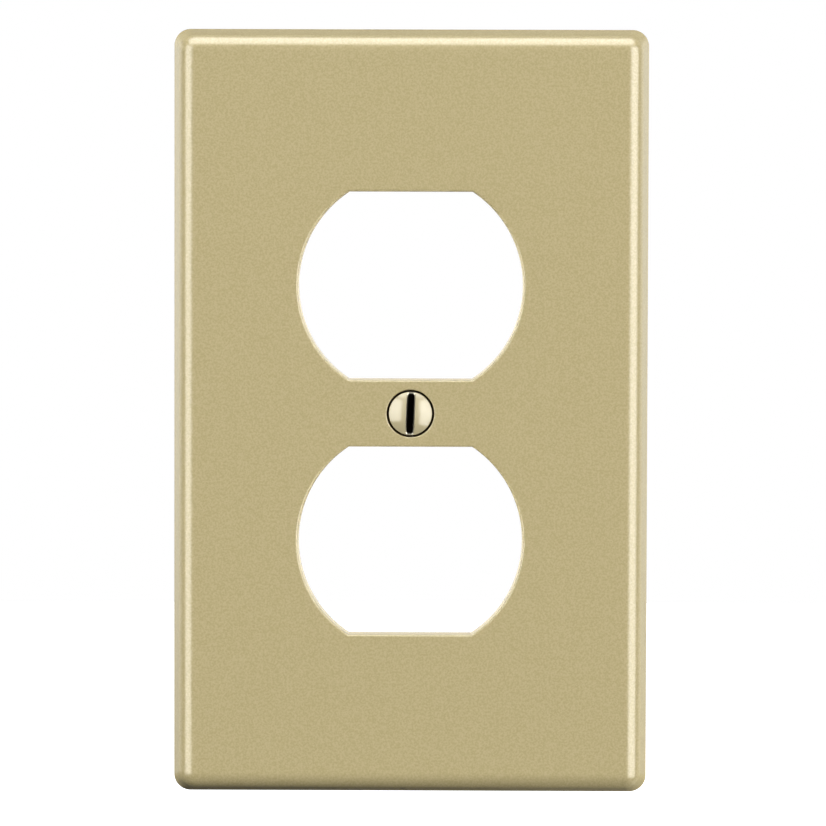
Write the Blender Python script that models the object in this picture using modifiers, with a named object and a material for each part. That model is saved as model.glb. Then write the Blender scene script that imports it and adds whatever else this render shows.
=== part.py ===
"""One-gang wall plate for a duplex receptacle, with its captive mounting screw.

Frame: +Z up, +X to the right as seen from the room, the finished face towards -Y.
The origin is where the mounting screw's axis meets the wall plane, y = 0, which is
also the back of the plate's rim. All sizes are in metres.
"""

import math

import bmesh
import bpy
from mathutils import Matrix, Vector

INCH = 0.0254
OVERRUN = 0.002  # how far a cutter runs past the face that it cuts
SINK = 0.0004  # how deep a rib, collar or boss is rooted in the face behind it

# Plate shell
PLATE_WIDTH = 0.0725
PLATE_HEIGHT = 0.1168
PLATE_DEPTH = 0.0060
SIDE_DRAFT = math.radians(13)
EDGE_SETBACK = 0.00206  # from the face's sharp edge to where its rounding starts
CORNER_SETBACK = 0.00250  # the same at the four corners of the outline
EDGE_SEGMENTS = 6
FACE_THICKNESS = 0.0024
RIM_THICKNESS = 0.0018
CAVITY_ROUNDING = 0.0008
FACE_Y = -PLATE_DEPTH
INNER_Y = FACE_Y + FACE_THICKNESS

# Receptacle openings: circles with a flat at top and bottom
OPENING_SPACING = 1.531 * INCH
OPENING_RADIUS = 0.0172
OPENING_FLAT = 0.0144
OPENING_DRAFT = math.radians(2.7)
OPENING_SEGMENTS = 64
OPENING_CENTRES_Z = (OPENING_SPACING / 2, -OPENING_SPACING / 2)

# Stiffening on the back of the face
COLLAR_WALL = 0.0013
RIB_HEIGHT = 0.0012
RIB_THICKNESS = 0.0011
RIB_Y = INNER_Y + RIB_HEIGHT
SIDE_RIB_ANCHOR_X = OPENING_RADIUS + COLLAR_WALL / 2
END_RIB_X = 0.0130
END_RIB_ANCHOR_Z = OPENING_SPACING / 2 + 0.0130
RIM_ANCHOR_INSET = RIM_THICKNESS / 2 - RIB_Y * math.tan(SIDE_DRAFT)
RIM_ANCHOR_X = PLATE_WIDTH / 2 - RIM_ANCHOR_INSET
RIM_ANCHOR_Z = PLATE_HEIGHT / 2 - RIM_ANCHOR_INSET

# Ejector-pin marks in the back of the face
PIN_MARK_RADIUS = 0.0025
PIN_MARK_DEPTH = 0.0002
PIN_MARK_X = 0.0285
PIN_MARK_ROWS_Z = (0.0460, 0.0070, -0.0070, -0.0460)
PIN_MARK_SEGMENTS = 20

# Screw hole: countersink, clearance hole and boss
HOLE_SEGMENTS = 48
MOUTH_RADIUS = 0.00360
MOUTH_LAND = 0.0005
CONE_HALF_ANGLE = math.radians(41)
HOLE_RADIUS = 0.00205
BOSS_RADIUS = 0.0043
BOSS_BACK_Y = -0.0010

# Mounting screw: 6-32 x 5/8 in, slotted oval head
THREAD_RADIUS = 0.138 * INCH / 2
THREAD_PITCH = INCH / 32
THREAD_CORE_RADIUS = 0.00132
THREAD_CREST = THREAD_PITCH / 8
THREAD_FLANK = math.radians(30)
THREAD_ROOTING = 0.00012  # how deep the ridge is rooted in the core
THREAD_STEPS = 12  # sections in one turn
THREAD_START_Y = -0.0034
THREAD_RUNOUT = 0.5  # turns over which the ridge fades at each end
HEAD_RADIUS = 0.00328
HEAD_EDGE = 0.00012
HEAD_DOME = 0.0010
HEAD_DOME_POINTS = 7
HEAD_EDGE_Y = -0.00570
SCREW_LENGTH = 0.625 * INCH
TIP_Y = HEAD_EDGE_Y + SCREW_LENGTH
TIP_CHAMFER = 0.00040
SCREW_SEGMENTS = 36
SLOT_WIDTH = 0.00115
SLOT_DEPTH = 0.0011
SLOT_LEAN = math.radians(2.3)  # clockwise, as seen from the room

# Fibre washer that keeps the screw in the plate
WASHER_HOLE_RADIUS = 0.00205
WASHER_RADIUS = 0.00435
WASHER_THICKNESS = 0.0008
WASHER_FRONT_Y = 0.0030
WASHER_CHAMFER = 0.00010

# Turned shapes are drawn upright and laid along Y: their local +Z faces the room
LAY_ALONG_Y = Matrix.Rotation(math.radians(90), 4, "X")


def clear_scene():
    for obj in list(bpy.data.objects):
        bpy.data.objects.remove(obj, do_unlink=True)


def new_collection(name):
    collection = bpy.data.collections.new(name)
    bpy.context.scene.collection.children.link(collection)
    return collection


def new_object(name, bm, collection):
    mesh = bpy.data.meshes.new(name)
    bm.to_mesh(mesh)
    bm.free()
    obj = bpy.data.objects.new(name, mesh)
    collection.objects.link(obj)
    return obj


def new_tool(name, bm):
    """A helper shape that cuts, trims or joins, and is not itself part of the object."""
    obj = new_object(name, bm, bpy.data.collections["cutters"])
    obj.hide_render = True
    obj.display_type = "WIRE"
    return obj


def new_material(name, color, roughness, metallic):
    material = bpy.data.materials.new(name)
    material.use_nodes = True
    shader = material.node_tree.nodes["Principled BSDF"]
    shader.inputs["Base Color"].default_value = (*color, 1.0)
    shader.inputs["Roughness"].default_value = roughness
    shader.inputs["Metallic"].default_value = metallic
    return material


def add_boolean(obj, operation, tool):
    modifier = obj.modifiers.new(tool.name, "BOOLEAN")
    modifier.operation = operation
    modifier.solver = "EXACT"
    modifier.object = tool


def drafted_block(width, height, front_y, back_y, front_inset=0.0, centre=(0.0, 0.0)):
    """A box from front_y to back_y; its sides lean in by front_inset at its front end."""
    bm = bmesh.new()
    bmesh.ops.create_cube(bm, size=1.0)
    for vert in bm.verts:
        in_front = vert.co.y < 0
        inset = front_inset if in_front else 0.0
        vert.co.x *= width - 2 * inset
        vert.co.z *= height - 2 * inset
        vert.co.y = front_y if in_front else back_y
    bmesh.ops.translate(bm, verts=bm.verts, vec=(centre[0], 0.0, centre[1]))
    return bm


def drafted_cylinder(front_radius, back_radius, front_y, back_y, segments, centre=(0.0, 0.0)):
    bm = bmesh.new()
    bmesh.ops.create_cone(
        bm,
        cap_ends=True,
        segments=segments,
        radius1=back_radius,
        radius2=front_radius,
        depth=back_y - front_y,
    )
    middle = Vector((centre[0], (front_y + back_y) / 2, centre[1]))
    bmesh.ops.transform(bm, matrix=Matrix.Translation(middle) @ LAY_ALONG_Y, verts=bm.verts)
    return bm


def weight_edges(bm, front_weight):
    """Marks a block's edges for the Bevel modifier: those of its front, and its four corners."""
    layer = bm.edges.layers.float.new("bevel_weight_edge")
    for edge in bm.edges:
        ends_in_front = sum(vert.co.y < 0 for vert in edge.verts)
        edge[layer] = (0.0, 1.0, front_weight)[ends_in_front]


def add_rounding(obj, setback, segments):
    modifier = obj.modifiers.new("rounding", "BEVEL")
    modifier.limit_method = "WEIGHT"
    modifier.offset_type = "OFFSET"
    modifier.width = setback
    modifier.segments = segments


def turned(name, profile, segments, collection):
    """A solid of revolution about Y. Each profile point is (radius, y), from its front end to its back."""
    bm = bmesh.new()
    points = [bm.verts.new((radius, 0.0, -y)) for radius, y in profile]
    for start, end in zip(points, points[1:]):
        bm.edges.new((start, end))
    obj = new_object(name, bm, collection)
    obj.matrix_world = LAY_ALONG_Y
    modifier = obj.modifiers.new("turn", "SCREW")
    modifier.axis = "Z"
    modifier.steps = segments
    modifier.render_steps = segments
    modifier.use_merge_vertices = True
    modifier.merge_threshold = 0.00001
    return obj


def smooth_round_sides(obj, angle=math.radians(30)):
    obj.data.shade_smooth()
    obj.data.set_sharp_from_angle(angle=angle)


def opening_tool(name, centre_z, wall, front_y, back_y, draft):
    """A plug with the openings' outline, made bigger all round by wall at the finished face."""

    def inset_at(y):
        return (y - FACE_Y) * math.tan(draft)

    radius = OPENING_RADIUS + wall
    flat = OPENING_FLAT + wall
    slab_front = front_y - OVERRUN
    slab_back = back_y + OVERRUN
    slab = new_tool(
        name + "_flats",
        drafted_block(
            4 * radius,
            2 * (flat - inset_at(slab_back)),
            slab_front,
            slab_back,
            front_inset=inset_at(slab_front) - inset_at(slab_back),
            centre=(0.0, centre_z),
        ),
    )
    plug = new_tool(
        name,
        drafted_cylinder(
            radius - inset_at(front_y),
            radius - inset_at(back_y),
            front_y,
            back_y,
            OPENING_SEGMENTS,
            centre=(0.0, centre_z),
        ),
    )
    add_boolean(plug, "INTERSECT", slab)
    return plug


def rib(name, start, end):
    """A straight rib on the back of the face, between two (x, z) points in line with X or Z."""
    size_x = max(abs(end[0] - start[0]), RIB_THICKNESS)
    size_z = max(abs(end[1] - start[1]), RIB_THICKNESS)
    centre = ((start[0] + end[0]) / 2, (start[1] + end[1]) / 2)
    return new_tool(name, drafted_block(size_x, size_z, INNER_Y - SINK, RIB_Y, centre=centre))


def plate_shell(collection):
    """The moulding's outside: a drafted block with every front and corner edge rounded."""
    front_inset = PLATE_DEPTH * math.tan(SIDE_DRAFT)
    bm = drafted_block(PLATE_WIDTH, PLATE_HEIGHT, FACE_Y, 0.0, front_inset=front_inset)
    weight_edges(bm, EDGE_SETBACK / CORNER_SETBACK)
    shell = new_object("face_plate", bm, collection)
    add_rounding(shell, CORNER_SETBACK, EDGE_SEGMENTS)
    return shell


def cavity_tool():
    depth = OVERRUN - INNER_Y
    lean = depth * math.tan(SIDE_DRAFT)
    widening = 2 * OVERRUN * math.tan(SIDE_DRAFT)
    bm = drafted_block(
        PLATE_WIDTH - 2 * RIM_THICKNESS + widening,
        PLATE_HEIGHT - 2 * RIM_THICKNESS + widening,
        INNER_Y,
        OVERRUN,
        front_inset=lean,
    )
    weight_edges(bm, 1.0)
    tool = new_tool("cavity", bm)
    add_rounding(tool, CAVITY_ROUNDING, 2)
    return tool


def stiffening():
    """The collars, ribs and screw boss on the back of the face."""
    collars = [
        opening_tool(f"collar_{i}", z, COLLAR_WALL, INNER_Y - SINK, RIB_Y, OPENING_DRAFT)
        for i, z in enumerate(OPENING_CENTRES_Z)
    ]
    boss = new_tool(
        "boss",
        drafted_cylinder(BOSS_RADIUS, BOSS_RADIUS, INNER_Y - SINK, BOSS_BACK_Y, HOLE_SEGMENTS),
    )
    ribs = []
    for side in (1, -1):
        for row, z in enumerate(OPENING_CENTRES_Z):
            start = (side * SIDE_RIB_ANCHOR_X, z)
            ribs.append(rib(f"side_rib_{side}_{row}", start, (side * RIM_ANCHOR_X, z)))
        start = (side * BOSS_RADIUS / 2, 0.0)
        ribs.append(rib(f"bridge_rib_{side}", start, (side * RIM_ANCHOR_X, 0.0)))
        for end in (1, -1):
            start = (side * END_RIB_X, end * END_RIB_ANCHOR_Z)
            finish = (side * END_RIB_X, end * RIM_ANCHOR_Z)
            ribs.append(rib(f"end_rib_{side}_{end}", start, finish))
    return [*collars, boss, *ribs]


def screw_hole_tools():
    straight_back = FACE_Y + MOUTH_LAND
    mouth = new_tool(
        "countersink_mouth",
        drafted_cylinder(
            MOUTH_RADIUS, MOUTH_RADIUS, FACE_Y - OVERRUN, straight_back, HOLE_SEGMENTS
        ),
    )
    overlap = MOUTH_LAND / 10
    cone_end_radius = HOLE_RADIUS / 2
    cone_depth = (MOUTH_RADIUS - cone_end_radius) / math.tan(CONE_HALF_ANGLE)
    cone = new_tool(
        "countersink_cone",
        drafted_cylinder(
            MOUTH_RADIUS + overlap * math.tan(CONE_HALF_ANGLE),
            cone_end_radius,
            straight_back - overlap,
            straight_back + cone_depth,
            HOLE_SEGMENTS,
        ),
    )
    bore = new_tool(
        "clearance_hole",
        drafted_cylinder(
            HOLE_RADIUS, HOLE_RADIUS, FACE_Y + FACE_THICKNESS / 2, OVERRUN, HOLE_SEGMENTS
        ),
    )
    return [mouth, cone, bore]


def pin_mark_tools():
    tools = []
    for side in (1, -1):
        for row, z in enumerate(PIN_MARK_ROWS_Z):
            bm = drafted_cylinder(
                PIN_MARK_RADIUS,
                PIN_MARK_RADIUS,
                INNER_Y - PIN_MARK_DEPTH,
                INNER_Y + OVERRUN,
                PIN_MARK_SEGMENTS,
                centre=(side * PIN_MARK_X, z),
            )
            tools.append(new_tool(f"pin_mark_{side}_{row}", bm))
    return tools


def make_face_plate(collection):
    plate = plate_shell(collection)
    add_boolean(plate, "DIFFERENCE", cavity_tool())
    for feature in stiffening():
        add_boolean(plate, "UNION", feature)
    for i, z in enumerate(OPENING_CENTRES_Z):
        opening = opening_tool(
            f"opening_{i}", z, 0.0, FACE_Y - OVERRUN, OVERRUN, OPENING_DRAFT
        )
        add_boolean(plate, "DIFFERENCE", opening)
    for tool in screw_hole_tools() + pin_mark_tools():
        add_boolean(plate, "DIFFERENCE", tool)
    return plate


def make_screw_retainer(collection):
    back_y = WASHER_FRONT_Y + WASHER_THICKNESS
    profile = [
        (WASHER_HOLE_RADIUS, WASHER_FRONT_Y),
        (WASHER_RADIUS - WASHER_CHAMFER, WASHER_FRONT_Y),
        (WASHER_RADIUS, WASHER_FRONT_Y + WASHER_CHAMFER),
        (WASHER_RADIUS, back_y - WASHER_CHAMFER),
        (WASHER_RADIUS - WASHER_CHAMFER, back_y),
        (WASHER_HOLE_RADIUS, back_y),
        (WASHER_HOLE_RADIUS, WASHER_FRONT_Y),
    ]
    return turned("screw_retainer", profile, SCREW_SEGMENTS, collection)


def head_profile():
    """(radius, y) from the top of the dome, over the edge and down the 82 degree underside."""
    dome_radius = (HEAD_RADIUS**2 + HEAD_DOME**2) / (2 * HEAD_DOME)
    dome_angle = math.asin(HEAD_RADIUS / dome_radius)
    top_y = HEAD_EDGE_Y - HEAD_DOME
    profile = []
    for i in range(HEAD_DOME_POINTS + 1):
        angle = dome_angle * i / HEAD_DOME_POINTS
        profile.append((dome_radius * math.sin(angle), top_y + dome_radius * (1 - math.cos(angle))))
    under_y = HEAD_EDGE_Y + HEAD_EDGE
    neck_y = under_y + (HEAD_RADIUS - THREAD_CORE_RADIUS) / math.tan(CONE_HALF_ANGLE)
    return profile + [(HEAD_RADIUS, under_y), (THREAD_CORE_RADIUS, neck_y)]


def thread_section(turn, turns):
    """The ridge's (radius, offset along the axis) outline; it sinks into the core at both ends."""
    strength = min(1.0, turn / THREAD_RUNOUT, (turns - turn) / THREAD_RUNOUT)
    root = THREAD_CORE_RADIUS - THREAD_ROOTING
    crest = root + THREAD_ROOTING / 2 + strength * (THREAD_RADIUS - root - THREAD_ROOTING / 2)
    half_crest = THREAD_CREST / 2
    half_root = half_crest + (THREAD_RADIUS - root) * math.tan(THREAD_FLANK)
    return [(root, -half_root), (crest, -half_crest), (crest, half_crest), (root, half_root)]


def thread_tool():
    """A right-hand helical ridge, lofted section by section along the shank."""
    length = TIP_Y - TIP_CHAMFER - THREAD_START_Y
    turns = length / THREAD_PITCH
    steps = round(turns * THREAD_STEPS)
    bm = bmesh.new()
    previous = None
    for i in range(steps + 1):
        turn = turns * i / steps
        # A right-hand helix turns clockwise as it runs away from the room, along +Y.
        radial = Vector((math.sin(math.tau * turn), 0.0, math.cos(math.tau * turn)))
        along = THREAD_START_Y + turn * THREAD_PITCH
        section = [
            bm.verts.new(radial * radius + Vector((0.0, along + offset, 0.0)))
            for radius, offset in thread_section(turn, turns)
        ]
        if previous:
            for a, b in zip(range(4), (1, 2, 3, 0)):
                bm.faces.new((previous[a], previous[b], section[b], section[a]))
        else:
            bm.faces.new(section)
        previous = section
    bm.faces.new(previous[::-1])
    bmesh.ops.recalc_face_normals(bm, faces=bm.faces)
    return new_tool("thread_ridge", bm)


def slot_tool():
    top_y = HEAD_EDGE_Y - HEAD_DOME
    bm = drafted_block(SLOT_WIDTH, 4 * HEAD_RADIUS, top_y - OVERRUN, top_y + SLOT_DEPTH)
    lean = Matrix.Rotation(SLOT_LEAN, 4, "Y")
    bmesh.ops.transform(bm, matrix=lean, verts=bm.verts)
    return new_tool("slot", bm)


def make_mounting_screw(collection):
    chamfered_radius = THREAD_CORE_RADIUS - TIP_CHAMFER
    shank = [
        (THREAD_CORE_RADIUS, TIP_Y - TIP_CHAMFER),
        (chamfered_radius, TIP_Y),
        (0.0, TIP_Y),
    ]
    screw = turned("mounting_screw", head_profile() + shank, SCREW_SEGMENTS, collection)
    add_boolean(screw, "UNION", thread_tool())
    add_boolean(screw, "DIFFERENCE", slot_tool())
    return screw


def keep_place(child, parent):
    child.parent = parent
    child.matrix_parent_inverse = parent.matrix_world.inverted()


def main():
    clear_scene()
    parts = new_collection("wall_plate_cover")
    new_collection("cutters")
    plate = make_face_plate(parts)
    retainer = make_screw_retainer(parts)
    screw = make_mounting_screw(parts)
    for obj, look in (
        (plate, new_material("ivory_plastic", (0.515, 0.444, 0.235), 0.28, 0.0)),
        (retainer, new_material("vulcanised_fibre", (0.16, 0.15, 0.14), 0.85, 0.0)),
        (screw, new_material("ivory_painted_steel", (0.600, 0.540, 0.360), 0.22, 0.0)),
    ):
        obj.data.materials.append(look)
        smooth_round_sides(obj)
    keep_place(retainer, plate)
    keep_place(screw, retainer)


main()
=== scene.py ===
"""Looks of the one-gang wall plate: its fine meshes, materials, studio and camera.

Every size is in metres, in the frame of the CAD model: +Z up, the finished face
towards -Y, the wall plane at y = 0 and the mounting screw on the Y axis.
"""

import math

import bmesh
import bpy
from mathutils import Matrix, Vector, noise


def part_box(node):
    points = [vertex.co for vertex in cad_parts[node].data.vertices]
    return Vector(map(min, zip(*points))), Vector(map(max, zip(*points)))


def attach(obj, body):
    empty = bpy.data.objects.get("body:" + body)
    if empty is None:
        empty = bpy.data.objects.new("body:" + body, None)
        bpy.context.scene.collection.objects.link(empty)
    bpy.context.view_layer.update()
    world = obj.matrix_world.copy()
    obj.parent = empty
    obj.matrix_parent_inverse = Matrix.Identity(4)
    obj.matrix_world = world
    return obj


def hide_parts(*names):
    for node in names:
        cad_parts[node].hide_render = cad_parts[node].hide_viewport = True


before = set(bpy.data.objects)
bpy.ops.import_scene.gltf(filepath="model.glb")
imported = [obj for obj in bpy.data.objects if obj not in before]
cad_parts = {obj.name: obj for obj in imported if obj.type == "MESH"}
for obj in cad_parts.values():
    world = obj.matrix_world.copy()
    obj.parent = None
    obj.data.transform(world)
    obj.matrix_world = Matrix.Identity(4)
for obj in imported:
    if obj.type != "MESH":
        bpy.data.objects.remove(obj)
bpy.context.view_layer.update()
plate_low, plate_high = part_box("face_plate")
screw_low, screw_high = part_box("mounting_screw")
washer_low, washer_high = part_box("screw_retainer")

INCH = 0.0254
OVERRUN = 0.002  # how far a cutter runs past the face that it cuts
SINK = 0.0006  # how deep a rib, collar or boss is rooted in the face behind it
MERGE_DISTANCE = 1e-7

# Plate shell
FACE_Y = plate_low.y
HALF_WIDTH = plate_high.x
HALF_HEIGHT = plate_high.z
SIDE_DRAFT = math.radians(13)
EDGE_SETBACK = 0.00206  # from the face's sharp edge to where its rounding starts
FACE_THICKNESS = 0.0024
RIM_THICKNESS = 0.0018
INNER_Y = FACE_Y + FACE_THICKNESS
EDGE_STEPS = 24
CORNER_STEPS = 20
RIM_SOFTENING = 0.00012
RIM_SOFTENING_STEPS = 3
CAVITY_CORNER = 0.0012  # at the back of the rim
CAVITY_CORNER_MIN = 0.0002
CAVITY_CORNER_STEPS = 8
CAVITY_ROUNDING = 0.0008
CAVITY_ROUNDING_STEPS = 8
PLATE_SHARP_ANGLE = math.radians(24)

# Receptacle openings
OPENING_SPACING = 1.531 * INCH
OPENING_RADIUS = 0.0172
OPENING_FLAT = 0.0144
OPENING_DRAFT = math.radians(2.7)
OPENING_LIP = 0.00030
OPENING_LIP_STEPS = 5
OPENING_STEPS = 96  # along each of the two arcs
OPENING_CENTRES_Z = (OPENING_SPACING / 2, -OPENING_SPACING / 2)

# Stiffening on the back of the face
COLLAR_WALL = 0.0013
RIB_HEIGHT = 0.0012
RIB_THICKNESS = 0.0011
RIB_CORNER = 0.0001
RIB_CORNER_STEPS = 2
RIB_SOFTENING = 0.00022
RIB_SOFTENING_STEPS = 4
RIB_Y = INNER_Y + RIB_HEIGHT
SIDE_RIB_ANCHOR_X = OPENING_RADIUS + COLLAR_WALL / 2
END_RIB_X = 0.0130
END_RIB_RISE = 0.0130  # of its inner end above the opening's centre
END_RIB_ANCHOR_Z = OPENING_SPACING / 2 + END_RIB_RISE
RIM_ANCHOR_INSET = RIM_THICKNESS / 2 - RIB_Y * math.tan(SIDE_DRAFT)
RIM_ANCHOR_X = HALF_WIDTH - RIM_ANCHOR_INSET
RIM_ANCHOR_Z = HALF_HEIGHT - RIM_ANCHOR_INSET

# Marks of the mould's ejector pins
PIN_MARK_RADIUS = 0.0025
PIN_MARK_DEPTH = 0.0002
PIN_MARK_X = 0.0285
PIN_MARK_ROWS_Z = (0.0460, 0.0070, -0.0070, -0.0460)
PIN_MARK_STEPS = 48

# Screw hole
HOLE_STEPS = 128
MOUTH_RADIUS = 0.00360
MOUTH_LAND = 0.0005
MOUTH_LIP = 0.00022
MOUTH_LIP_STEPS = 6
CONE_HALF_ANGLE = math.radians(41)
HOLE_RADIUS = 0.00205
BOSS_RADIUS = 0.0043
BOSS_BACK_Y = -0.0010

# Mounting screw: thread and core
THREAD_RADIUS = 0.138 * INCH / 2
THREAD_PITCH = INCH / 32
THREAD_CORE_RADIUS = 0.00132
THREAD_CREST = THREAD_PITCH / 8
THREAD_FLANK = math.radians(30)
THREAD_ROOTING = 0.00012  # how deep the ridge is rooted in the core
THREAD_STEPS = 48  # sections in one turn
THREAD_START_Y = -0.0034
THREAD_RUNOUT = 0.5  # turns over which the ridge fades at each end
CORE_STEPS = 72
TIP_Y = screw_high.y
TIP_CHAMFER = 0.00040

# Mounting screw: oval head
HEAD_RADIUS = screw_high.x
HEAD_EDGE = 0.00012
HEAD_DOME = 0.0010
HEAD_EDGE_Y = -0.00570
HEAD_TOP_Y = HEAD_EDGE_Y - HEAD_DOME
HEAD_UNDER_Y = HEAD_EDGE_Y + HEAD_EDGE
DOME_RADIUS = (HEAD_RADIUS**2 + HEAD_DOME**2) / (2 * HEAD_DOME)
DOME_COLUMN_ANGLE = math.radians(2.5)
DOME_ROWS = 60
SLOT_WIDTH = 0.00136  # at its lips
SLOT_TAPER = 0.00030  # how far each wall leans in over the slot's depth
SLOT_WALL_STEPS = 5
SLOT_FLOOR_EDGE = 0.00008  # between the foot of a wall and the flat floor
SLOT_DEPTH = 0.0011
SLOT_FLOOR_Y = HEAD_TOP_Y + SLOT_DEPTH
SLOT_LIP = 0.00006
SLOT_LIP_STEPS = 6
SLOT_LEAN = math.radians(2.3)  # clockwise, as seen from the room
SCREW_SHARP_ANGLE = math.radians(30)

# Retaining washer
WASHER_EDGE = 0.00018
WASHER_EDGE_STEPS = 4
WASHER_STEPS = 144
WASHER_GRIP = 0.00004  # clearance between the fibre and the crests of the thread
WASHER_FLUFF = 0.000018
WASHER_FLUFF_GRAIN = 2500.0
WASHER_SHARP_ANGLE = math.radians(60)

# Colours, in linear RGB
IVORY_DARK = (0.468, 0.391, 0.193)
IVORY_LIGHT = (0.544, 0.460, 0.251)
# Painted shade on the countersink wall, in the gap around the head
COUNTERSINK_PAINTED_SHADE = (0.030, 0.019, 0.007)
HEAD_IVORY = (0.555, 0.485, 0.295)
# Bare steel in the slot, darkened to near black as painted shade
SLOT_STEEL_AND_SHADE = (0.004, 0.003, 0.002)
ZINC_DARK = (0.50, 0.51, 0.52)
ZINC_LIGHT = (0.66, 0.67, 0.68)
FIBRE_DARK = (0.105, 0.098, 0.090)
FIBRE_LIGHT = (0.215, 0.205, 0.190)

# Gloss, as ranges of roughness where it varies
PLASTIC_ROUGHNESS = (0.21, 0.29)
ENAMEL_ROUGHNESS = 0.19
METAL_ROUGHNESS = (0.28, 0.42)
FIBRE_ROUGHNESS = (0.95, 0.72)
PLASTIC_IOR = 1.52

# Scales of the noise patterns, per metre
MOTTLING_GRAIN = 3300.0
HAZE_GRAIN = 420.0
PEEL_GRAIN = 520.0
FINE_GRAIN = 3200.0
PAINT_EDGE_GRAIN = 2600.0
ZINC_GRAIN = 900.0
METAL_GRAIN = 1500.0
ENAMEL_GRAIN = 1100.0
FIBRE_GRAIN = 3000.0

# Range of a noise pattern over which one colour goes over into the other
MOTTLING_RANGE = (0.39, 0.61)
FELT_RANGE = (0.3, 0.7)

# Bumps: strength and height
PEEL_BUMP = (0.10, 0.00004)
FINE_BUMP = (0.06, 0.00001)
ENAMEL_BUMP = (0.12, 0.00003)
FELT_BUMP = (0.5, 0.00005)

# Where one finish, or a painted shade, fades into another, measured from the surface that is named
SHADE_OUTSIDE_MOUTH = (0.00003, 0.00013)
SHADE_BELOW_FACE = (0.00006, 0.00022)
PAINT_PAST_SLOT_FLOOR = (0.00003, 0.00012)
PAINT_RAGGEDNESS = 0.00012
BARE_SHADE_OUTSIDE_SLOT = (-0.00028, 0.00004)
BARE_SHADE_BELOW_DOME = (0.00002, 0.00026)
BARE_SHADE_PAST_SLOT_FLOOR = (0.00012, 0.00018)

# Studio
STUDIO_RADIUS = 3.0
BACKDROP_SEGMENTS = 64
BACKDROP_RINGS = 32
FLOOR_Z = -0.30
FLOOR_SEGMENTS = 96
FLOOR_GREY = 0.86
FLOOR_ROUGHNESS = 0.9
WHITE = (1.0, 1.0, 1.0, 1.0)

# Sockets of a Mix node that is set to colours
MIX_A = 6
MIX_B = 7
MIX_RESULT = 2

# Ambient light: (place, level), where the place runs from 0 straight in front to 1
# straight behind, or from 0 straight below to 1 straight above.
WORLD_DEPTH_STOPS = (
    (0.0, 0.05),
    (0.15, 0.06),
    (0.60, 0.10),
    (0.71, 0.75),
    (0.83, 0.75),
    (0.93, 0.46),
    (0.96, 0.46),
    (0.985, 0.65),
)
WORLD_HEIGHT_STOPS = (
    (0.0, 0.015),
    (0.41, 0.05),
    (0.48, 0.85),
    (0.60, 0.90),
    (0.68, 0.15),
    (1.0, 0.12),
)
WORLD_STRENGTH = 2.0

# Lamps: name, bearing and elevation in degrees, distance, width, height, radiance.
# Softboxes are seen only in reflections, and fills and cards only light the surfaces.
SOFTBOXES = (
    ("left_softbox", -50, 7, 1.6, 1.30, 1.9, 7.6),
    ("right_softbox", 53, 0, 1.6, 1.50, 2.3, 8.7),
    ("top_softbox", 0, 77, 1.6, 2.2, 1.6, 8.4),
)
FILLS = (
    ("left_fill", -36, 20, 1.8, 1.2, 1.6, 4.15),
    ("right_fill", 36, 8, 1.8, 1.2, 1.6, 4.25),
    ("left_side_fill", -118, 12, 1.8, 1.2, 1.6, 4.7),
    ("right_side_fill", 120, 6, 1.8, 1.2, 1.6, 4.0),
    ("top_fill", 0, 118, 1.6, 1.4, 0.8, 4.6),
    ("upper_right_card", 112, 50, 0.157, 0.06, 0.06, 2.0),
    ("lower_right_card", 112, -50, 0.157, 0.06, 0.06, 7.0),
)
OPENING_CARD_WIDTH = 0.014
OPENING_CARD_HEIGHT = 0.008
OPENING_CARD_DROP = 0.010  # below the opening's centre
OPENING_CARD_TILT = math.radians(165)
OPENING_CARD_RADIANCE = 12.0

# Camera
CAMERA_DISTANCE = 0.9
CAMERA_BEARING = math.radians(0.50)
CAMERA_ELEVATION = math.radians(3.33)
CAMERA_ROLL = math.radians(0.153)
CAMERA_SENSOR = 36.0
CAMERA_LENS = 256.1
CAMERA_SHIFT = (0.0027, -0.0020)
CAMERA_CLIP = (0.05, 20.0)


# ---------------------------------------------------------------- mesh helpers


def bridge(bm, here, there):
    """A band of faces between two closed rings of vertices."""
    for i in range(len(here)):
        j = (i + 1) % len(here)
        bm.faces.new((here[i], here[j], there[j], there[i]))


def loft(rings):
    """A closed solid through rings of points, all with the same count, with flat ends."""
    bm = bmesh.new()
    verts = [[bm.verts.new(point) for point in ring] for ring in rings]
    for lower, upper in zip(verts, verts[1:]):
        bridge(bm, lower, upper)
    bm.faces.new(verts[0][::-1])
    bm.faces.new(verts[-1])
    bmesh.ops.remove_doubles(bm, verts=bm.verts, dist=MERGE_DISTANCE)
    bmesh.ops.recalc_face_normals(bm, faces=bm.faces)
    return bm


def revolved(profile, steps):
    """A closed turned solid about Y from (radius, y) points; its ends are discs."""
    rings = []
    for radius, y in profile:
        angles = (math.tau * i / steps for i in range(steps))
        rings.append([Vector((radius * math.cos(a), y, radius * math.sin(a))) for a in angles])
    return loft(rings)


def rounded_rectangle(half_x, half_z, radius, y, steps):
    """Points around a rectangle with round corners, in the plane at y."""
    points = []
    for quarter, (side_x, side_z) in enumerate(((1, 1), (-1, 1), (-1, -1), (1, -1))):
        centre = Vector((side_x * (half_x - radius), y, side_z * (half_z - radius)))
        for i in range(steps + 1):
            angle = math.radians(90) * (quarter + i / steps)
            points.append(centre + radius * Vector((math.cos(angle), 0.0, math.sin(angle))))
    return points


def opening_outline(grow, y, centre_z):
    """The truncated circle of a receptacle opening, made larger all round by grow."""
    radius = OPENING_RADIUS + grow
    corner = math.asin((OPENING_FLAT + grow) / radius)
    points = []
    for start in (-corner, math.pi - corner):
        for i in range(OPENING_STEPS + 1):
            angle = start + 2 * corner * i / OPENING_STEPS
            z = centre_z + radius * math.sin(angle)
            points.append(Vector((radius * math.cos(angle), y, z)))
    return points


def quarter_turn(radius, steps):
    """(across, along) points of a convex quarter round, from the face to the wall."""
    for i in range(steps + 1):
        angle = math.radians(90) * i / steps
        yield radius * (1 - math.sin(angle)), radius * (1 - math.cos(angle))


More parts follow.
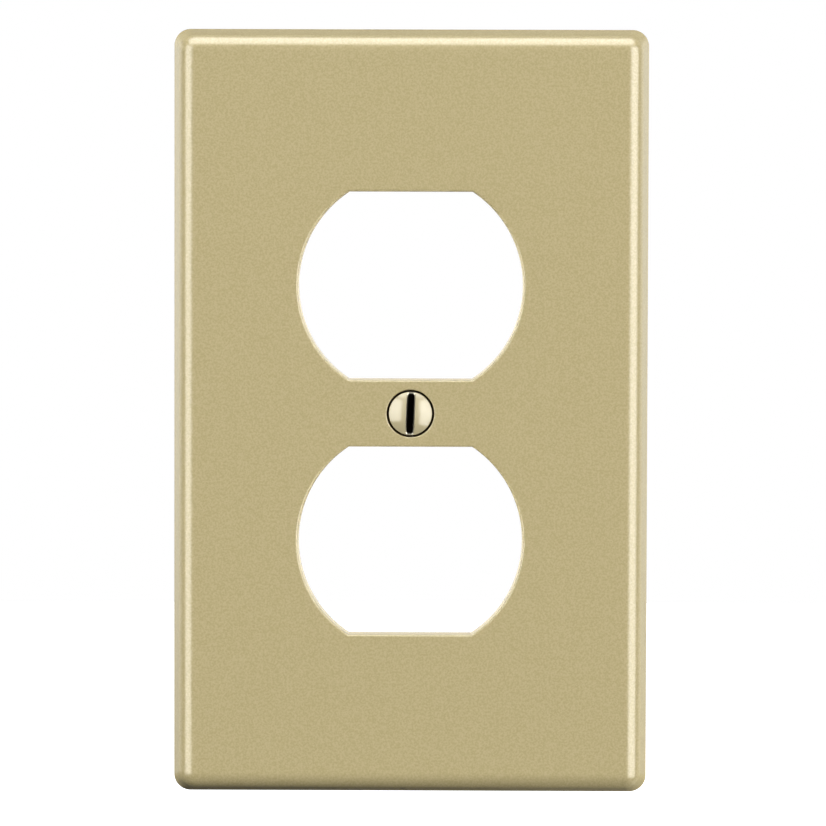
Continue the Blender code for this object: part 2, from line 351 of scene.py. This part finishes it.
def quarter_turn_back(radius, steps):
    """The same points from the wall to the face."""
    return reversed(list(quarter_turn(radius, steps)))


def new_object(name, bm):
    mesh = bpy.data.meshes.new(name)
    bm.to_mesh(mesh)
    bm.free()
    obj = bpy.data.objects.new(name, mesh)
    bpy.context.scene.collection.objects.link(obj)
    return obj


def apply_modifiers(obj):
    graph = bpy.context.evaluated_depsgraph_get()
    mesh = bpy.data.meshes.new_from_object(obj.evaluated_get(graph), depsgraph=graph)
    obj.modifiers.clear()
    obj.data = mesh


def combine(base, operation, tools):
    """Joins the tool shapes to base, or cuts them from it, and removes them."""
    for tool in tools:
        modifier = base.modifiers.new(tool.name, "BOOLEAN")
        modifier.operation = operation
        modifier.solver = "EXACT"
        modifier.object = tool
    apply_modifiers(base)
    for tool in tools:
        bpy.data.objects.remove(tool, do_unlink=True)


def finish_shading(obj, sharp_angle):
    """Smooth shading in which flat faces stay flat up to the edge of a rounding."""
    obj.data.shade_smooth()
    obj.data.set_sharp_from_angle(angle=sharp_angle)
    modifier = obj.modifiers.new("flat_faces_stay_flat", "WEIGHTED_NORMAL")
    modifier.mode = "FACE_AREA"
    modifier.weight = 50
    modifier.keep_sharp = True


# ---------------------------------------------------------------- face plate


def shell_rings():
    """Outlines of the plate's outside from the back of the rim to the finished face.

    The edge rolls over about a line, so the outline's corners shrink to points on the face.
    """
    slope = math.tan(SIDE_DRAFT)
    roll_end = math.radians(90) - SIDE_DRAFT
    roll_radius = EDGE_SETBACK * math.tan((math.radians(90) + SIDE_DRAFT) / 2)
    roll_y = FACE_Y + roll_radius
    roll_inset = -FACE_Y * slope + EDGE_SETBACK
    corner = roll_radius * math.sin(roll_end)
    rings = []

    def add(inset, y, radius):
        half_x = HALF_WIDTH - inset
        half_z = HALF_HEIGHT - inset
        rings.append(rounded_rectangle(half_x, half_z, radius, y, CORNER_STEPS))

    for across, along in quarter_turn(RIM_SOFTENING, RIM_SOFTENING_STEPS):
        add(across + along * slope, -along, corner)
    for i in range(EDGE_STEPS + 1):
        angle = roll_end * (1 - i / EDGE_STEPS)
        reach = roll_radius * math.sin(angle)
        add(roll_inset - reach, roll_y - roll_radius * math.cos(angle), reach)
    return rings


def cavity_rings():
    """Outlines of the hollow from behind the rim to the inside of the face."""
    slope = math.tan(SIDE_DRAFT)
    half_x = HALF_WIDTH - RIM_THICKNESS
    half_z = HALF_HEIGHT - RIM_THICKNESS
    rings = []

    def add(inset, y, radius):
        outline = rounded_rectangle(
            half_x - inset, half_z - inset, radius, y, CAVITY_CORNER_STEPS
        )
        rings.append(outline)

    add(-RIM_SOFTENING, OVERRUN, CAVITY_CORNER + RIM_SOFTENING)
    for across, along in quarter_turn(RIM_SOFTENING, RIM_SOFTENING_STEPS):
        add(-across, -along, CAVITY_CORNER + across)
    for across, along in quarter_turn_back(CAVITY_ROUNDING, CAVITY_ROUNDING_STEPS):
        depth = -(INNER_Y + along)
        corner = max(CAVITY_CORNER - across, CAVITY_CORNER_MIN)
        add(depth * slope + across, INNER_Y + along, corner)
    return rings


def opening_rings(centre_z):
    """A plug that cuts an opening, with a rounded lip at the face and at the collar."""
    slope = math.tan(OPENING_DRAFT)
    rings = [opening_outline(OPENING_LIP, FACE_Y - OVERRUN, centre_z)]
    for across, along in quarter_turn(OPENING_LIP, OPENING_LIP_STEPS):
        rings.append(opening_outline(across - along * slope, FACE_Y + along, centre_z))
    back_grow = -(RIB_Y - FACE_Y) * slope
    for across, along in quarter_turn_back(RIB_SOFTENING, RIB_SOFTENING_STEPS):
        rings.append(opening_outline(back_grow + across, RIB_Y - along, centre_z))
    rings.append(opening_outline(back_grow + RIB_SOFTENING, RIB_Y + OVERRUN, centre_z))
    return rings


def collar_rings(centre_z):
    slope = math.tan(OPENING_DRAFT)
    rings = [opening_outline(COLLAR_WALL, INNER_Y - SINK, centre_z)]
    for across, along in quarter_turn_back(RIB_SOFTENING, RIB_SOFTENING_STEPS):
        y = RIB_Y - along
        grow = COLLAR_WALL - (y - FACE_Y) * slope - across
        rings.append(opening_outline(grow, y, centre_z))
    return rings


def rib_tool(name, start, end):
    """A straight rib between two (x, z) points, rounded along its top edges."""
    half_x = max(abs(end[0] - start[0]), RIB_THICKNESS) / 2
    half_z = max(abs(end[1] - start[1]), RIB_THICKNESS) / 2
    centre = Vector(((start[0] + end[0]) / 2, 0.0, (start[1] + end[1]) / 2))
    rings = []

    def add(inset, y):
        outline = rounded_rectangle(
            half_x - inset, half_z - inset, RIB_CORNER, y, RIB_CORNER_STEPS
        )
        rings.append([point + centre for point in outline])

    add(0.0, INNER_Y - SINK)
    for across, along in quarter_turn_back(RIB_SOFTENING, RIB_SOFTENING_STEPS):
        add(across, RIB_Y - along)
    return new_object(name, loft(rings))


def rib_tools():
    tools = []
    for side in (1, -1):
        for row, z in enumerate(OPENING_CENTRES_Z):
            start = (side * SIDE_RIB_ANCHOR_X, z)
            tools.append(rib_tool(f"side_rib_{side}_{row}", start, (side * RIM_ANCHOR_X, z)))
        start = (side * BOSS_RADIUS / 2, 0.0)
        tools.append(rib_tool(f"bridge_rib_{side}", start, (side * RIM_ANCHOR_X, 0.0)))
        for end in (1, -1):
            start = (side * END_RIB_X, end * END_RIB_ANCHOR_Z)
            finish = (side * END_RIB_X, end * RIM_ANCHOR_Z)
            tools.append(rib_tool(f"end_rib_{side}_{end}", start, finish))
    return tools


def boss_profile():
    profile = [(BOSS_RADIUS, INNER_Y - SINK)]
    for across, along in quarter_turn_back(RIB_SOFTENING, RIB_SOFTENING_STEPS):
        profile.append((BOSS_RADIUS - across, BOSS_BACK_Y - along))
    return profile


def screw_hole_profile():
    """(radius, y) of the countersink and clearance hole, from the face to the boss's back."""
    cone_depth = (MOUTH_RADIUS - HOLE_RADIUS) / math.tan(CONE_HALF_ANGLE)
    profile = [(MOUTH_RADIUS + MOUTH_LIP, FACE_Y - OVERRUN)]
    for across, along in quarter_turn(MOUTH_LIP, MOUTH_LIP_STEPS):
        profile.append((MOUTH_RADIUS + across, FACE_Y + along))
    profile.append((MOUTH_RADIUS, FACE_Y + MOUTH_LAND))
    profile.append((HOLE_RADIUS, FACE_Y + MOUTH_LAND + cone_depth))
    for across, along in quarter_turn_back(RIB_SOFTENING, RIB_SOFTENING_STEPS):
        profile.append((HOLE_RADIUS + across, BOSS_BACK_Y - along))
    profile.append((HOLE_RADIUS + RIB_SOFTENING, OVERRUN))
    return profile


def pin_mark_tools():
    profile = [
        (PIN_MARK_RADIUS, INNER_Y - PIN_MARK_DEPTH),
        (PIN_MARK_RADIUS, INNER_Y + OVERRUN / 2),
    ]
    tools = []
    for side in (1, -1):
        for row, z in enumerate(PIN_MARK_ROWS_Z):
            bm = revolved(profile, PIN_MARK_STEPS)
            bmesh.ops.translate(bm, verts=bm.verts, vec=(side * PIN_MARK_X, 0.0, z))
            tools.append(new_object(f"pin_mark_{side}_{row}", bm))
    return tools


def make_plate():
    plate = new_object("moulded_plate", loft(shell_rings()))
    combine(plate, "DIFFERENCE", [new_object("cavity", loft(cavity_rings()))])
    collars = [
        new_object(f"collar_{i}", loft(collar_rings(z))) for i, z in enumerate(OPENING_CENTRES_Z)
    ]
    boss = new_object("boss", revolved(boss_profile(), HOLE_STEPS))
    combine(plate, "UNION", [*collars, boss, *rib_tools()])
    openings = [
        new_object(f"opening_{i}", loft(opening_rings(z)))
        for i, z in enumerate(OPENING_CENTRES_Z)
    ]
    hole = new_object("screw_hole", revolved(screw_hole_profile(), HOLE_STEPS))
    combine(plate, "DIFFERENCE", [*openings, hole, *pin_mark_tools()])
    finish_shading(plate, PLATE_SHARP_ANGLE)
    return plate


# ---------------------------------------------------------------- mounting screw


def slot_columns():
    """(x, drop below the dome, share of the slot's depth) across the right half of the head."""
    half = SLOT_WIDTH / 2
    lip_start = half + SLOT_LIP
    last_angle = math.acos(lip_start / HEAD_RADIUS)
    count = round(last_angle / DOME_COLUMN_ANGLE)
    columns = [(HEAD_RADIUS * math.cos(last_angle * i / count), 0.0, 0.0) for i in range(count)]
    for across, along in quarter_turn(SLOT_LIP, SLOT_LIP_STEPS):
        columns.append((half + across, along, 0.0))
    for i in range(1, SLOT_WALL_STEPS + 1):
        x = half - SLOT_TAPER * i / SLOT_WALL_STEPS
        columns.append((x, SLOT_LIP, i / SLOT_WALL_STEPS))
    columns.append((half - SLOT_TAPER - SLOT_FLOOR_EDGE, SLOT_LIP, 1.0))
    columns.append((0.0, SLOT_LIP, 1.0))
    return columns


def dome_y(x, z):
    reach = min(x * x + z * z, HEAD_RADIUS**2)
    return HEAD_TOP_Y + DOME_RADIUS - math.sqrt(DOME_RADIUS**2 - reach)


def head_bmesh():
    """The oval head as one grid over its top, with the slot in it, then its edge and underside."""
    right = slot_columns()
    left = [(-x, drop, share) for x, drop, share in reversed(right[:-1])]
    columns = right + left
    bm = bmesh.new()
    grid = []
    for x, drop, share in columns:
        reach = math.sqrt(max(HEAD_RADIUS**2 - x * x, 0.0))
        column = []
        for row in range(DOME_ROWS + 1):
            z = reach * math.sin(math.pi * (row / DOME_ROWS - 0.5))
            below_lip = dome_y(x, z) + drop
            y = below_lip + (SLOT_FLOOR_Y - below_lip) * share
            column.append(bm.verts.new((x, min(y, SLOT_FLOOR_Y) if drop else y, z)))
        grid.append(column)
    for here, there in zip(grid, grid[1:]):
        for row in range(DOME_ROWS):
            bm.faces.new((here[row], here[row + 1], there[row + 1], there[row]))
    top_edge = [column[-1] for column in grid]
    bottom_edge = [column[0] for column in reversed(grid)]
    outline = top_edge + bottom_edge[1:-1]
    neck_y = HEAD_UNDER_Y + (HEAD_RADIUS - THREAD_CORE_RADIUS) / math.tan(CONE_HALF_ANGLE)
    rings = [outline]
    for scale, y in ((1.0, HEAD_UNDER_Y), (THREAD_CORE_RADIUS / HEAD_RADIUS, neck_y)):
        rings.append([bm.verts.new((v.co.x * scale, y, v.co.z * scale)) for v in outline])
    for upper, lower in zip(rings, rings[1:]):
        bridge(bm, upper, lower)
    bm.faces.new(rings[-1])
    bmesh.ops.remove_doubles(bm, verts=bm.verts, dist=MERGE_DISTANCE)
    bmesh.ops.dissolve_degenerate(bm, edges=bm.edges, dist=MERGE_DISTANCE)
    bmesh.ops.recalc_face_normals(bm, faces=bm.faces)
    bmesh.ops.transform(bm, matrix=Matrix.Rotation(SLOT_LEAN, 4, "Y"), verts=bm.verts)
    return bm


def thread_section(turn, turns):
    """(radius, offset) corners of the ridge, which is lower near both ends of the thread."""
    strength = min(1.0, turn / THREAD_RUNOUT, (turns - turn) / THREAD_RUNOUT)
    root = THREAD_CORE_RADIUS - THREAD_ROOTING
    crest = root + THREAD_ROOTING / 2 + strength * (THREAD_RADIUS - root - THREAD_ROOTING / 2)
    half_crest = THREAD_CREST / 2
    half_root = half_crest + (THREAD_RADIUS - root) * math.tan(THREAD_FLANK)
    return [(root, -half_root), (crest, -half_crest), (crest, half_crest), (root, half_root)]


def thread_bmesh():
    turns = (TIP_Y - TIP_CHAMFER - THREAD_START_Y) / THREAD_PITCH
    steps = round(turns * THREAD_STEPS)
    rings = []
    for i in range(steps + 1):
        turn = turns * i / steps
        radial = Vector((math.sin(math.tau * turn), 0.0, math.cos(math.tau * turn)))
        along = THREAD_START_Y + turn * THREAD_PITCH
        rings.append(
            [
                radial * radius + Vector((0.0, along + offset, 0.0))
                for radius, offset in thread_section(turn, turns)
            ]
        )
    return loft(rings)


def make_screw():
    screw = new_object("slotted_screw", head_bmesh())
    core_start = HEAD_UNDER_Y + (HEAD_RADIUS - THREAD_CORE_RADIUS) / 2
    core = [
        (THREAD_CORE_RADIUS, core_start),
        (THREAD_CORE_RADIUS, TIP_Y - TIP_CHAMFER),
        (THREAD_CORE_RADIUS - TIP_CHAMFER, TIP_Y),
    ]
    shank = new_object("shank", revolved(core, CORE_STEPS))
    combine(shank, "UNION", [new_object("thread", thread_bmesh())])
    combine(screw, "UNION", [shank])
    finish_shading(screw, SCREW_SHARP_ANGLE)
    return screw


# ---------------------------------------------------------------- retaining washer


def washer_section():
    """(radius, y) points around the washer's section, with a round at each corner."""
    inner = THREAD_RADIUS + WASHER_GRIP
    outer = washer_high.x
    corners = (
        (outer, washer_low.y, -1, 1, 0),
        (outer, washer_high.y, -1, -1, 90),
        (inner, washer_high.y, 1, -1, 180),
        (inner, washer_low.y, 1, 1, 270),
    )
    section = []
    for radius, y, side_r, side_y, start in corners:
        centre_r = radius + side_r * WASHER_EDGE
        centre_y = y + side_y * WASHER_EDGE
        for i in range(WASHER_EDGE_STEPS + 1):
            angle = math.radians(start - 90 + 90 * i / WASHER_EDGE_STEPS)
            point_r = centre_r + WASHER_EDGE * math.cos(angle)
            section.append((point_r, centre_y + WASHER_EDGE * math.sin(angle)))
    return section


def make_washer():
    """A punched fibre ring, slightly fluffed at its cut edges."""
    section = washer_section()
    bm = bmesh.new()
    rings = []
    for i in range(WASHER_STEPS):
        a = math.tau * i / WASHER_STEPS
        ring = []
        for radius, y in section:
            ring.append(bm.verts.new((radius * math.cos(a), y, radius * math.sin(a))))
        rings.append(ring)
    for here, there in zip(rings, rings[1:] + rings[:1]):
        bridge(bm, here, there)
    bmesh.ops.recalc_face_normals(bm, faces=bm.faces)
    for vert in bm.verts:
        fluff = WASHER_FLUFF * noise.noise(vert.co * WASHER_FLUFF_GRAIN)
        radial = Vector((vert.co.x, 0.0, vert.co.z)).normalized()
        vert.co -= radial * abs(fluff)
    washer = new_object("fibre_washer", bm)
    finish_shading(washer, WASHER_SHARP_ANGLE)
    return washer


# ---------------------------------------------------------------- materials


class Nodes:
    """Short-hand for building a material's nodes on its Principled BSDF shader."""

    def __init__(self, name):
        self.material = bpy.data.materials.new(name)
        self.material.use_nodes = True
        self.tree = self.material.node_tree
        self.shader = self.tree.nodes["Principled BSDF"]
        self.place = self.add("ShaderNodeTexCoord").outputs["Object"]

    def add(self, kind, **settings):
        node = self.tree.nodes.new(kind)
        for key, value in settings.items():
            setattr(node, key, value)
        return node

    def link(self, source, target):
        self.tree.links.new(source, target)

    def noise(self, scale, detail=3.0, roughness=0.5, distortion=0.0):
        node = self.add("ShaderNodeTexNoise")
        node.inputs["Scale"].default_value = scale
        node.inputs["Detail"].default_value = detail
        node.inputs["Roughness"].default_value = roughness
        node.inputs["Distortion"].default_value = distortion
        self.link(self.place, node.inputs["Vector"])
        return node.outputs["Fac"]

    def remap(self, value, low, high, from_low=0.0, from_high=1.0):
        node = self.add("ShaderNodeMapRange")
        node.inputs["From Min"].default_value = from_low
        node.inputs["From Max"].default_value = from_high
        node.inputs["To Min"].default_value = low
        node.inputs["To Max"].default_value = high
        self.link(value, node.inputs["Value"])
        return node.outputs["Result"]

    def fade_in(self, value, surface, reach):
        """0 to 1 while the value runs through reach, measured from surface."""
        return self.remap(value, 0.0, 1.0, surface + reach[0], surface + reach[1])

    def fade_out(self, value, surface, reach):
        """1 to 0 while the value runs through reach, measured from surface."""
        return self.remap(value, 1.0, 0.0, surface + reach[0], surface + reach[1])

    def mix_color(self, fac, color_a, color_b):
        node = self.add("ShaderNodeMix", data_type="RGBA")
        self.link(fac, node.inputs["Factor"])
        for index, color in ((MIX_A, color_a), (MIX_B, color_b)):
            socket = node.inputs[index]
            if isinstance(color, tuple):
                socket.default_value = (*color, 1.0)
            else:
                self.link(color, socket)
        return node.outputs[MIX_RESULT]

    def math(self, operation, a, b=0.0):
        node = self.add("ShaderNodeMath", operation=operation)
        for socket, value in zip(node.inputs, (a, b)):
            if isinstance(value, (int, float)):
                socket.default_value = value
            else:
                self.link(value, socket)
        return node.outputs[0]

    def add_up(self, a, b):
        return self.math("ADD", a, b)

    def multiply(self, a, b):
        return self.math("MULTIPLY", a, b)

    def inverted(self, share):
        return self.math("SUBTRACT", 1.0, share)

    def bump(self, height, strength, distance, normal=None):
        node = self.add("ShaderNodeBump")
        node.inputs["Strength"].default_value = strength
        node.inputs["Distance"].default_value = distance
        self.link(height, node.inputs["Height"])
        if normal:
            self.link(normal, node.inputs["Normal"])
        return node.outputs["Normal"]

    def split_place(self):
        split = self.add("ShaderNodeSeparateXYZ")
        self.link(self.place, split.inputs[0])
        return split.outputs["X"], split.outputs["Y"], split.outputs["Z"]


def ivory_plastic():
    """Smooth moulded ivory thermoplastic: faint mottling, an orange-peel and fine haze.

    The wall of the countersink, around the head, is painted dark as shade in the narrow gap around
    the head.
    """
    n = Nodes("ivory_plastic")
    x, y, z = n.split_place()
    mottling = n.noise(MOTTLING_GRAIN, detail=2.5, roughness=0.65)
    mottled = n.remap(mottling, 0.0, 1.0, *MOTTLING_RANGE)
    plastic = n.mix_color(mottled, IVORY_DARK, IVORY_LIGHT)
    # Painted shade: the countersink wall below the face turns near black, standing in for shade in
    # the gap around the head
    square = n.add_up(n.math("POWER", x, 2.0), n.math("POWER", z, 2.0))
    in_hole = n.fade_out(n.math("SQRT", square), MOUTH_RADIUS, SHADE_OUTSIDE_MOUTH)
    below_face = n.fade_in(y, FACE_Y, SHADE_BELOW_FACE)
    painted_shade = n.multiply(in_hole, below_face)
    n.link(n.mix_color(painted_shade, plastic, COUNTERSINK_PAINTED_SHADE), n.shader.inputs["Base Color"])
    haze = n.noise(HAZE_GRAIN, detail=4.0)
    n.link(n.remap(haze, *PLASTIC_ROUGHNESS), n.shader.inputs["Roughness"])
    n.shader.inputs["IOR"].default_value = PLASTIC_IOR
    peel = n.bump(n.noise(PEEL_GRAIN, detail=2.0), *PEEL_BUMP)
    fine = n.noise(FINE_GRAIN, detail=3.0)
    n.link(n.bump(fine, *FINE_BUMP, normal=peel), n.shader.inputs["Normal"])
    return n.material


def screw_finish():
    """Ivory enamel on the head, bare steel down in the slot that is darkened to near black as
    painted shade, and bright zinc on the shank.
    """
    n = Nodes("enamelled_screw")
    x, y, z = n.split_place()
    ragged = n.remap(
        n.noise(PAINT_EDGE_GRAIN, detail=3.0), -PAINT_RAGGEDNESS, PAINT_RAGGEDNESS
    )
    paint = n.fade_out(n.add_up(y, ragged), SLOT_FLOOR_Y, PAINT_PAST_SLOT_FLOOR)
    # The slot leans with the head, so the distance from its middle is taken across the lean.
    across = n.add_up(
        n.multiply(x, math.cos(SLOT_LEAN)), n.multiply(z, -math.sin(SLOT_LEAN))
    )
    slot_edge = SLOT_WIDTH / 2 + SLOT_LIP
    in_slot = n.fade_out(n.math("ABSOLUTE", across), slot_edge, BARE_SHADE_OUTSIDE_SLOT)
    from_centre = n.add("ShaderNodeVectorMath", operation="DISTANCE")
    n.link(n.place, from_centre.inputs[0])
    from_centre.inputs[1].default_value = (0.0, HEAD_TOP_Y + DOME_RADIUS, 0.0)
    below_dome = n.math("SUBTRACT", DOME_RADIUS, from_centre.outputs["Value"])
    shade_with_depth = n.fade_in(below_dome, 0.0, BARE_SHADE_BELOW_DOME)
    above_floor = n.fade_out(y, SLOT_FLOOR_Y, BARE_SHADE_PAST_SLOT_FLOOR)
    # Painted shade: the slot's walls and floor turn near black with depth below the dome, partly
    # bare steel and partly shade painted in
    bare_and_shaded = n.multiply(n.multiply(in_slot, shade_with_depth), above_floor)
    enamel = n.multiply(paint, n.inverted(bare_and_shaded))
    zinc = n.mix_color(n.noise(ZINC_GRAIN, detail=2.0), ZINC_DARK, ZINC_LIGHT)
    metal = n.mix_color(bare_and_shaded, zinc, SLOT_STEEL_AND_SHADE)
    n.link(n.mix_color(enamel, metal, HEAD_IVORY), n.shader.inputs["Base Color"])
    n.link(n.inverted(enamel), n.shader.inputs["Metallic"])
    metal_roughness = n.remap(n.noise(METAL_GRAIN, detail=3.0), *METAL_ROUGHNESS)
    roughness = n.add_up(
        n.multiply(enamel, ENAMEL_ROUGHNESS), n.multiply(n.inverted(enamel), metal_roughness)
    )
    n.link(roughness, n.shader.inputs["Roughness"])
    n.shader.inputs["IOR"].default_value = PLASTIC_IOR
    peel = n.noise(ENAMEL_GRAIN, detail=2.0)
    n.link(n.bump(peel, *ENAMEL_BUMP), n.shader.inputs["Normal"])
    return n.material


def vulcanised_fibre():
    """Pressed dark grey fibre, matt, with a felted grain."""
    n = Nodes("vulcanised_fibre")
    grain = n.noise(FIBRE_GRAIN, detail=6.0, roughness=0.7, distortion=1.5)
    felted = n.remap(grain, 0.0, 1.0, *FELT_RANGE)
    n.link(n.mix_color(felted, FIBRE_DARK, FIBRE_LIGHT), n.shader.inputs["Base Color"])
    n.link(n.remap(grain, *FIBRE_ROUGHNESS), n.shader.inputs["Roughness"])
    n.link(n.bump(grain, *FELT_BUMP), n.shader.inputs["Normal"])
    return n.material


def dress(piece, material, body, node):
    piece.data.materials.clear()
    piece.data.materials.append(material)
    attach(piece, body)
    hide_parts(node)


# ---------------------------------------------------------------- studio


def direction(bearing, elevation):
    """Unit vector from the plate; bearing is measured from straight in front."""
    flat = math.cos(elevation)
    return Vector((math.sin(bearing) * flat, -math.cos(bearing) * flat, math.sin(elevation)))


def make_floor():
    """A pale floor that shines white itself and doesn't light the plate."""
    bm = bmesh.new()
    bmesh.ops.create_circle(
        bm, cap_ends=True, segments=FLOOR_SEGMENTS, radius=STUDIO_RADIUS
    )
    bmesh.ops.translate(bm, verts=bm.verts, vec=(0.0, 0.0, FLOOR_Z))
    floor = new_object("studio_floor", bm)
    material = bpy.data.materials.new("studio_floor")
    material.use_nodes = True
    shader = material.node_tree.nodes["Principled BSDF"]
    shader.inputs["Base Color"].default_value = (FLOOR_GREY, FLOOR_GREY, FLOOR_GREY, 1.0)
    shader.inputs["Roughness"].default_value = FLOOR_ROUGHNESS
    shader.inputs["Emission Color"].default_value = WHITE
    shader.inputs["Emission Strength"].default_value = 1.0
    floor.data.materials.append(material)
    floor.visible_glossy = False
    floor.visible_diffuse = False


def make_backdrop():
    """A plain white surround that only the camera sees."""
    bm = bmesh.new()
    bmesh.ops.create_uvsphere(
        bm, u_segments=BACKDROP_SEGMENTS, v_segments=BACKDROP_RINGS, radius=STUDIO_RADIUS
    )
    backdrop = new_object("studio_backdrop", bm)
    material = bpy.data.materials.new("studio_backdrop")
    material.use_nodes = True
    tree = material.node_tree
    tree.nodes.remove(tree.nodes["Principled BSDF"])
    emission = tree.nodes.new("ShaderNodeEmission")
    emission.inputs["Color"].default_value = WHITE
    emission.inputs["Strength"].default_value = 1.0
    tree.links.new(emission.outputs[0], tree.nodes["Material Output"].inputs["Surface"])
    backdrop.data.materials.append(material)
    for flag in ("visible_diffuse", "visible_glossy", "visible_transmission", "visible_shadow"):
        setattr(backdrop, flag, False)


def make_world():
    """Ambient light: bright about the horizon behind the plate, and dark elsewhere."""
    world = bpy.data.worlds.new("studio")
    bpy.context.scene.world = world
    world.use_nodes = True
    tree = world.node_tree
    background = tree.nodes["Background"]
    place = tree.nodes.new("ShaderNodeTexCoord")
    split = tree.nodes.new("ShaderNodeSeparateXYZ")
    tree.links.new(place.outputs["Generated"], split.inputs[0])

    def ramp(axis, stops):
        """Levels along an axis of the direction, which runs from -1 to 1."""
        share = tree.nodes.new("ShaderNodeMath")
        share.operation = "MULTIPLY_ADD"
        tree.links.new(split.outputs[axis], share.inputs[0])
        share.inputs[1].default_value = 0.5
        share.inputs[2].default_value = 0.5
        node = tree.nodes.new("ShaderNodeValToRGB")
        node.color_ramp.interpolation = "EASE"
        elements = node.color_ramp.elements
        elements[0].position = stops[0][0]
        elements[-1].position = stops[-1][0]
        for position, _ in stops[1:-1]:
            elements.new(position)
        for element, (_, level) in zip(elements, stops):
            element.color = (level, level, level, 1.0)
        tree.links.new(share.outputs[0], node.inputs["Fac"])
        return node.outputs["Color"]

    product = tree.nodes.new("ShaderNodeMix")
    product.data_type = "RGBA"
    product.blend_type = "MULTIPLY"
    product.inputs["Factor"].default_value = 1.0
    tree.links.new(ramp("Y", WORLD_DEPTH_STOPS), product.inputs[MIX_A])
    tree.links.new(ramp("Z", WORLD_HEIGHT_STOPS), product.inputs[MIX_B])
    tree.links.new(product.outputs[MIX_RESULT], background.inputs["Color"])
    background.inputs["Strength"].default_value = WORLD_STRENGTH


def make_lamp(name, width, height, radiance):
    """A rectangular lamp that the camera doesn't see."""
    light = bpy.data.lights.new(name, "AREA")
    light.shape = "RECTANGLE"
    light.size = width
    light.size_y = height
    light.energy = radiance * math.pi * width * height
    lamp = bpy.data.objects.new(name, light)
    bpy.context.scene.collection.objects.link(lamp)
    lamp.visible_camera = False
    return lamp


def make_aimed_lamp(name, bearing, elevation, distance, width, height, radiance):
    """A lamp that faces the plate."""
    lamp = make_lamp(name, width, height, radiance)
    towards = direction(math.radians(bearing), math.radians(elevation))
    lamp.location = towards * distance
    lamp.rotation_mode = "QUATERNION"
    lamp.rotation_quaternion = towards.to_track_quat("Z", "Y")
    return lamp


def make_opening_card(index, centre_z):
    """A small lamp in an opening, for the light that a pale wall sends back up to its lip."""
    name = f"opening_card_{index}"
    lamp = make_lamp(name, OPENING_CARD_WIDTH, OPENING_CARD_HEIGHT, OPENING_CARD_RADIANCE)
    lamp.location = (0.0, 0.0, centre_z - OPENING_CARD_DROP)
    lamp.rotation_euler = (OPENING_CARD_TILT, 0.0, 0.0)
    return lamp


def make_lights():
    for softbox in SOFTBOXES:
        make_aimed_lamp(*softbox).visible_diffuse = False
    for fill in FILLS:
        make_aimed_lamp(*fill).visible_glossy = False
    for index, centre_z in enumerate(OPENING_CENTRES_Z):
        make_opening_card(index, centre_z).visible_glossy = False


def make_camera():
    """In front of the plate, a little above its middle, with a long lens."""
    towards = direction(CAMERA_BEARING, CAMERA_ELEVATION)
    data = bpy.data.cameras.new("camera")
    data.sensor_width = CAMERA_SENSOR
    data.lens = CAMERA_LENS
    data.shift_x, data.shift_y = CAMERA_SHIFT
    data.clip_start, data.clip_end = CAMERA_CLIP
    camera = bpy.data.objects.new("camera", data)
    bpy.context.scene.collection.objects.link(camera)
    place = Matrix.Translation(towards * CAMERA_DISTANCE)
    turn = towards.to_track_quat("Z", "Y").to_matrix().to_4x4()
    camera.matrix_world = place @ turn @ Matrix.Rotation(CAMERA_ROLL, 4, "Z")
    bpy.context.scene.camera = camera


# ---------------------------------------------------------------- the scene


make_camera()
dress(make_plate(), ivory_plastic(), "plate", "face_plate")
dress(make_screw(), screw_finish(), "screw", "mounting_screw")
dress(make_washer(), vulcanised_fibre(), "retainer", "screw_retainer")
make_floor()
make_backdrop()
make_world()
make_lights()
bpy.context.scene.view_settings.view_transform = "Standard"
